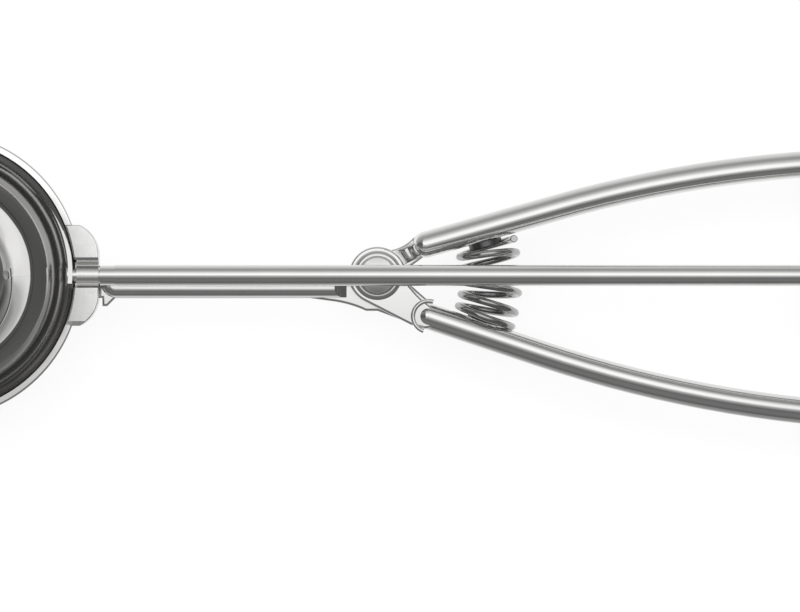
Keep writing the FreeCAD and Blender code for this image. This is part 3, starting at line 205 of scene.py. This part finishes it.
UPPER_TURN = math.radians(15.0)
LOWER_TURN = math.radians(-15.0)
BOWL_RINGS = ("rings", 0, 5000.0)
BLADE_RINGS = ("rings", 0, 7000.0)
FINISHES = {
    # The bowl's colour carries painted shade on its inner wall and in its floor's middle.
    "bowl": steel(
        "bowl_mirror", 0.86, (0.01, 0.03), BOWL_RINGS, grain=0.02, dents=0.3, wall_shade_share=0.86
    ),
    "scraper_blade": steel("blade_mirror", 0.80, (0.04, 0.10), BLADE_RINGS, grain=0.15),
    "upper_handle": steel("upper_polish", 0.80, (0.06, 0.14), ("straight", UPPER_TURN)),
    # Painted shade: the fold is toned darker than the handle's steel it belongs to, for the dark
    # neck.
    "upper_ear_fold": steel("fold_polish_painted_shade", 0.66, (0.06, 0.14), ("straight", UPPER_TURN), dents=0.8),
    "lower_handle": steel("lower_polish", 0.80, (0.06, 0.14), ("straight", LOWER_TURN), dents=0.1),
    "drive_rod": steel("rod_polish", 0.80, (0.10, 0.17), ("straight",), grain=0.5),
    "scraper_shaft": steel("shaft_polish", 0.78, (0.08, 0.15), ("rod_rings",)),
    "stem_arm": steel("arm_polish", 0.78, (0.07, 0.15), ("straight",), dents=0.25),
    "neck_bracket": steel("saddle_satin", 0.86, (0.10, 0.18), dents=0.15),
    "neck_bush": steel("bush_satin", 0.84, (0.14, 0.24), ("rod_rings",), grain=0.4),
    "pivot_rivet": steel("rivet_polish", 0.72, (0.10, 0.20), dents=0.2),
    "pivot_washer": steel("washer_satin", 0.74, (0.16, 0.26)),
    "tip_pivot_pin": steel("tip_polish", 0.78, (0.08, 0.16)),
    # Painted shade: both spring pegs are toned nearly black so they read as the shade inside the
    # coil.
    "lower_spring_peg": steel("peg_painted_shade", 0.16, (0.30, 0.42), spread=0.03),
    "rear_bracket": steel("plate_polish", 0.78, (0.10, 0.20), ("straight", 1.5), dents=0.2),
    "rear_bracket_rivets": steel("foot_rivet_polish", 0.76, (0.10, 0.20)),
    "rear_bush": steel("rear_bush_satin", 0.72, (0.20, 0.30), ("rod_rings",)),
    "gear_rack": steel("rack_satin", 0.74, (0.16, 0.26), ("straight", 1.4)),
    "drive_pinion": steel("pinion_satin", 0.72, (0.16, 0.26), ("straight",)),
    "pinion_pin": steel("pin_satin", 0.72, (0.16, 0.26)),
    "rod_end_clip": steel("clip_spring", 0.66, (0.20, 0.30)),
    # Painted shade: the spring wire is toned much darker than the other steel so its coil reads
    # grey.
    "return_spring": steel("spring_wire_painted_shade", 0.46, (0.07, 0.14), dents=0.1),
}
FINISHES["upper_spring_peg"] = FINISHES["lower_spring_peg"]
FINISHES["rack_rivets"] = FINISHES["rear_bracket_rivets"]


def finish_nodes():
    for name, node in NODES.items():
        node.data.materials.clear()
        node.data.materials.append(FINISHES[name])


# The wound spring. Its axis is an arc about the fan's centre, between the two handles.

PIVOT = Vector((83.7, 0.0, 0.0)) * MM
FAN_CENTRE = Vector((82.2330, -0.7240, -8.5)) * MM
LOWER_SLOPE = math.radians(18.4)
UPPER_SLOPE = math.radians(15.7)
SPRING_REACH = 23.1 * MM
SPRING_RADIUS = 5.45 * MM
WIRE_RADIUS = 0.7 * MM
TURNS = 5.0
FLAT_TURNS = 0.25
STEPS_PER_TURN = 48
PITCH_EASE = 0.1
SPRING_TAIL = 1.2 * MM
WIRE_SIDES = 20
WIRE_BEVEL = 0.18


def spring_point(turn):
    """The middle of the wire after this many turns. The end turns are flat."""
    share = min(max((turn - FLAT_TURNS) / (TURNS - 2 * FLAT_TURNS), 0.0), 1.0)
    ease = share * share * (3 - 2 * share)
    share = (1 - PITCH_EASE) * share + PITCH_EASE * ease
    angle = -LOWER_SLOPE + (LOWER_SLOPE + UPPER_SLOPE) * share
    around = 2 * math.pi * turn
    reach = SPRING_REACH + SPRING_RADIUS * math.cos(around)
    lift = SPRING_RADIUS * math.sin(around)
    return FAN_CENTRE + Vector((reach * math.cos(angle), reach * math.sin(angle), lift))


def tube(name, points, radius):
    """A round tube along a line of points, with closed, slightly bevelled ends."""
    sides = WIRE_SIDES
    headings = []
    for index in range(len(points)):
        before = points[max(index - 1, 0)]
        after = points[min(index + 1, len(points) - 1)]
        headings.append((after - before).normalized())
    side = headings[0].orthogonal().normalized()
    vertices, faces = [], []

    def ring(centre, heading, size):
        other = heading.cross(side)
        for step in range(sides):
            turn = 2 * math.pi * step / sides
            vertices.append(centre + (side * math.cos(turn) + other * math.sin(turn)) * size)

    bevel = WIRE_BEVEL * radius
    count = 0
    for index, (point, heading) in enumerate(zip(points, headings)):
        side = (side - heading * side.dot(heading)).normalized()
        if index == 0:
            ring(point - heading * bevel, heading, radius - bevel)
            count += 1
        ring(point, heading, radius)
        count += 1
        if index == len(points) - 1:
            ring(point + heading * bevel, heading, radius - bevel)
            count += 1
    for row in range(count - 1):
        for step in range(sides):
            a = row * sides + step
            b = row * sides + (step + 1) % sides
            faces.append((a, b, b + sides, a + sides))
    faces.append(tuple(reversed(range(sides))))
    faces.append(tuple(range((count - 1) * sides, count * sides)))
    mesh = bpy.data.meshes.new(name)
    mesh.from_pydata([tuple(v) for v in vertices], [], faces)
    mesh.polygons.foreach_set("use_smooth", [len(f) == 4 for f in faces])
    return put(name, mesh)


def make_spring():
    steps = int(STEPS_PER_TURN * TURNS)
    points = [spring_point(TURNS * step / steps) for step in range(steps + 1)]
    first = (points[1] - points[0]).normalized()
    last = (points[-1] - points[-2]).normalized()
    points.insert(0, points[0] - first * SPRING_TAIL)
    points.append(points[-1] + last * SPRING_TAIL)
    piece = tube("spring_wire_coil", points, WIRE_RADIUS)
    piece.data.materials.append(FINISHES["return_spring"])
    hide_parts("return_spring")
    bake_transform(piece)


# The bent sheet between the moving handle's ear and its bar

EAR_LEVEL = -5.2 * MM
FOLD_RISE = 1.15 * MM
DISC_RADIUS = 5.65 * MM
CAP_ALONG = 10.45 * MM
CAP_ACROSS = 3.2 * MM
CAP_RADIUS = 2.2 * MM
CREASES = 2
FOLD_NEAR_EDGES = (0.62 * MM, 3.45 * MM)
FOLD_FAR_EDGES = (1.27 * MM, 4.40 * MM)
FOLD_INTO_CAP = 0.1 * MM
FOLD_ABOVE_EAR = 0.02 * MM
FOLD_BELOW_EAR = 0.3 * MM
FOLD_ROWS = 60
FOLD_COLUMNS = 24


def between(limits, share):
    """The point at this share of the way from the first limit to the second."""
    return limits[0] + (limits[1] - limits[0]) * share


def fold_point(across_share, along_share, lift):
    """A point of the fold. It starts at the ear's disc and ends in the handle's round end."""
    near = between(FOLD_NEAR_EDGES, across_share)
    far = between(FOLD_FAR_EDGES, across_share)
    start = math.sqrt(DISC_RADIUS ** 2 - near ** 2)
    end = CAP_ALONG - math.sqrt(CAP_RADIUS ** 2 - (far - CAP_ACROSS) ** 2) + FOLD_INTO_CAP
    across = between((near, far), along_share)
    along = between((start, end), along_share)
    x = along * math.cos(UPPER_SLOPE) - across * math.sin(UPPER_SLOPE)
    y = along * math.sin(UPPER_SLOPE) + across * math.cos(UPPER_SLOPE)
    return PIVOT + Vector((x, y, EAR_LEVEL + lift))


def make_ear_fold():
    """A closed skin: the creased top, the flat underside in the ear, and the edge between them."""
    rows, columns = FOLD_ROWS, FOLD_COLUMNS
    wave = 2 * math.pi * CREASES
    vertices, faces = [], []
    for top in (True, False):
        for row in range(rows + 1):
            along = row / rows
            rise = FOLD_RISE * (along - math.sin(wave * along) / wave)
            for column in range(columns + 1):
                across = column / columns
                crown = 1 - abs(2 * across - 1) ** 6
                lift = FOLD_ABOVE_EAR + rise * crown if top else -FOLD_BELOW_EAR
                vertices.append(tuple(fold_point(across, along, lift)))
    width = columns + 1
    bottom = (rows + 1) * width
    for row in range(rows):
        for column in range(columns):
            a = row * width + column
            faces.append((a, a + width, a + width + 1, a + 1))
            faces.append((bottom + a, bottom + a + 1, bottom + a + width + 1, bottom + a + width))
    edge = list(range(columns))
    edge += [row * width + columns for row in range(rows)]
    edge += [rows * width + column for column in range(columns, 0, -1)]
    edge += [row * width for row in range(rows, 0, -1)]
    for a, b in zip(edge, edge[1:] + edge[:1]):
        faces.append((a, b, bottom + b, bottom + a))
    mesh = bpy.data.meshes.new("upper_ear_fold")
    mesh.from_pydata(vertices, [], faces)
    skin = 2 * rows * columns
    mesh.polygons.foreach_set("use_smooth", [index < skin for index in range(len(faces))])
    piece = put("upper_ear_fold", mesh)
    mesh.materials.append(FINISHES["upper_ear_fold"])
    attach(piece, "squeeze_handle")


# Studio

FLOOR_LEVEL = -27.1 * MM
CENTRE_X = 88.0 * MM
CENTRE_Y = -5.83 * MM
FRAME_WIDTH = 152.4 * MM
CAMERA_HEIGHT = 2.4
CAMERA_REACH = 50.0
SENSOR = 36.0
LAMP_PLACE = Vector((CENTRE_X, 0.25, 1.3))
LAMP_SIZE = (1.2, 0.9)
LAMP_POWER = 14.0


def degrees_share(angle):
    """The place of an angle on a ramp that runs from -90 to 90 degrees."""
    return (angle + 90.0) / 180.0


# Brightness of the soft box against the angle from overhead, in degrees towards +Y.
SOFTBOX = [
    (-34, 0.10),
    (-26, 0.24),
    (-17, 0.36),
    (-8, 0.62),
    (0, 1.09),
    (8, 1.20),
    (18, 1.18),
    (28, 0.94),
    (38, 0.66),
    (48, 0.48),
    (58, 0.36),
]
# The part of that brightness that is left along X, in millimetres.
SOFTBOX_ALONG = [
    (-4, 0.2),
    (2, 1.0),
    (165, 1.0),
    (195, 0.75),
    (235, 0.42),
    (325, 0.26),
    (420, 0.12),
]
SOFTBOX_HEIGHT = 180 * MM
SOFTBOX_START = SOFTBOX_ALONG[0][0] * MM
SOFTBOX_END = SOFTBOX_ALONG[-1][0] * MM
# The dark spot above the bowl, against the distance from the bowl's axis over the span.
DARK_SPOT = [(0.42, 0.10), (0.53, 1.0)]
DARK_SPOT_SPAN = 45 * MM
# Brightness of the room round the soft box, against the angle from overhead.
ROOM = [
    (-90, 0.13),
    (-75, 0.15),
    (-60, 0.19),
    (-40, 0.18),
    (-25, 0.16),
    (-12, 0.12),
    (0, 0.10),
    (15, 0.12),
    (35, 0.22),
    (52, 0.36),
    (64, 0.36),
    (76, 0.40),
    (90, 0.62),
]
ROOM_SOFT_LIGHT = 0.75


def make_world():
    """Dim studio walls round the soft box. The camera sees plain white."""
    world = bpy.data.worlds.new("studio")
    bpy.context.scene.world = world
    t = Tree(world)
    _, y, z = t.add("SeparateXYZ", {0: t.add("TexCoord").outputs["Generated"]}).outputs
    sweep = t.math("ARCTAN2", y, z)
    share = t.math("MULTIPLY_ADD", sweep, 1.0 / math.pi, 0.5)
    room = t.ramp(share, [(degrees_share(angle), value) for angle, value in ROOM], "EASE")
    rays = t.add("LightPath").outputs
    soft = t.mix(rays["Is Glossy Ray"], ROOM_SOFT_LIGHT, room)
    seen = t.mix(rays["Is Camera Ray"], soft, 1.0)
    back = t.add("Background", {"Color": seen, "Strength": 1.0})
    t.add("OutputWorld", {"Surface": back.outputs[0]})


def make_softbox():
    """A wide soft box close above the rod, which only the metal's reflections see."""
    low_y = SOFTBOX_HEIGHT * math.tan(math.radians(SOFTBOX[0][0]))
    high_y = SOFTBOX_HEIGHT * math.tan(math.radians(SOFTBOX[-1][0]))
    start, end = SOFTBOX_START, SOFTBOX_END
    length = end - start
    corners = [(start, low_y), (end, low_y), (end, high_y), (start, high_y)]
    mesh = bpy.data.meshes.new("soft_box")
    mesh.from_pydata([(x, y, SOFTBOX_HEIGHT) for x, y in corners], [], [(0, 3, 2, 1)])
    box = put("soft_box", mesh)
    for kind in ("camera", "diffuse", "transmission", "volume_scatter", "shadow"):
        setattr(box, "visible_" + kind, False)
    material = bpy.data.materials.new("soft_box_glow")
    t = Tree(material)
    x, y, _ = t.add("SeparateXYZ", {0: t.add("TexCoord").outputs["Object"]}).outputs
    sweep = t.math("ARCTAN2", y, SOFTBOX_HEIGHT)
    share = t.math("MULTIPLY_ADD", sweep, 1.0 / math.pi, 0.5)
    across = t.ramp(share, [(degrees_share(angle), value) for angle, value in SOFTBOX], "EASE")
    reach = t.math("MULTIPLY_ADD", x, 1.0 / length, -start / length)
    stops = [((place * MM - start) / length, value) for place, value in SOFTBOX_ALONG]
    along = t.ramp(reach, stops)
    radius = t.math("SQRT", t.squares(x, y))
    spot = t.ramp(t.math("DIVIDE", radius, DARK_SPOT_SPAN), DARK_SPOT)
    glow = t.mix(1.0, t.mix(1.0, across, along, blend="MULTIPLY"), spot, blend="MULTIPLY")
    surface = t.add("Emission", {"Color": glow, "Strength": 1.0}).outputs[0]
    t.add("OutputMaterial", {"Surface": surface})
    mesh.materials.append(material)


# Brightness of the table in the metal, against Y.
POOL_SPAN = 600 * MM
POOL = [
    (-280 * MM, 0.10),
    (-90 * MM, 0.14),
    (-55 * MM, 0.22),
    (-38 * MM, 0.50),
    (-22 * MM, 0.85),
    (25 * MM, 0.92),
    (60 * MM, 0.72),
    (120 * MM, 0.60),
    (280 * MM, 0.55),
]
# The part of it that is left beside the scoop, against the distance from its middle over the span.
POOL_SHRINK = [(0.16, 1.0), (0.30, 0.55), (0.6, 0.25)]
TABLE_HALF = 1.5
TABLE_CLOUD_SCALE = 30.0
TABLE_GLOW = 0.84


def make_floor():
    """A plain white table that keeps a faint shadow. It glows for the camera and in the metal."""
    half = TABLE_HALF
    mesh = bpy.data.meshes.new("table_top")
    corners = [(-half, -half), (half, -half), (half, half), (-half, half)]
    mesh.from_pydata([(x, y, FLOOR_LEVEL) for x, y in corners], [], [(0, 1, 2, 3)])
    floor = put("table_top", mesh)
    material = bpy.data.materials.new("table_white")
    t = Tree(material)
    place = t.add("TexCoord").outputs["Object"]
    colour = t.ramp(t.noise(place, TABLE_CLOUD_SCALE, 3.0), [(0.3, 0.90), (0.7, 0.92)])
    matte = t.add("BsdfPrincipled", {"Base Color": colour, "Roughness": 0.7}).outputs[0]
    rays = t.add("LightPath").outputs
    x, y, _ = t.add("SeparateXYZ", {0: place}).outputs
    share = t.math("MULTIPLY_ADD", y, 1.0 / POOL_SPAN, 0.5)
    pool = t.ramp(share, [(0.5 + depth / POOL_SPAN, value) for depth, value in POOL], "EASE")
    beside = t.math("ABSOLUTE", t.math("SUBTRACT", x, CENTRE_X))
    shrink = t.ramp(t.math("MULTIPLY", beside, 1.0 / POOL_SPAN), POOL_SHRINK)
    pool = t.mix(1.0, pool, shrink, blend="MULTIPLY")
    seen_white = t.mix(rays["Is Camera Ray"], pool, 1.0)
    glow = t.add("Emission", {"Color": seen_white, "Strength": 1.0}).outputs[0]
    seen = t.math("MAXIMUM", rays["Is Camera Ray"], rays["Is Glossy Ray"])
    share = t.math("MULTIPLY", seen, TABLE_GLOW)
    surface = t.add("MixShader", {0: share, 1: matte, 2: glow}).outputs[0]
    t.add("OutputMaterial", {"Surface": surface})
    mesh.materials.append(material)


def make_lamp():
    lamp = bpy.data.lights.new("soft_lamp", "AREA")
    lamp.shape = "RECTANGLE"
    lamp.size, lamp.size_y = LAMP_SIZE
    lamp.energy = LAMP_POWER
    holder = put("soft_lamp", lamp)
    holder.location = LAMP_PLACE
    aim = Vector((CENTRE_X, 0.0, 0.0)) - LAMP_PLACE
    holder.rotation_euler = aim.to_track_quat("-Z", "Y").to_euler()
    holder.visible_glossy = False


def make_camera():
    camera = bpy.data.cameras.new("photo_camera")
    camera.sensor_width = SENSOR
    camera.lens = SENSOR * CAMERA_HEIGHT / FRAME_WIDTH
    camera.clip_end = CAMERA_REACH
    holder = put("photo_camera", camera)
    holder.location = (CENTRE_X, CENTRE_Y, CAMERA_HEIGHT)
    bpy.context.scene.camera = holder


finish_nodes()
make_spring()
make_ear_fold()
make_world()
make_softbox()
make_floor()
make_lamp()
make_camera()
bpy.context.scene.view_settings.view_transform = "Standard"
# Light in the bowl's mirror meets its wall many times.
bpy.context.scene.cycles.max_bounces = 24
bpy.context.scene.cycles.glossy_bounces = 20
bpy.context.scene.cycles.min_light_bounces = 20
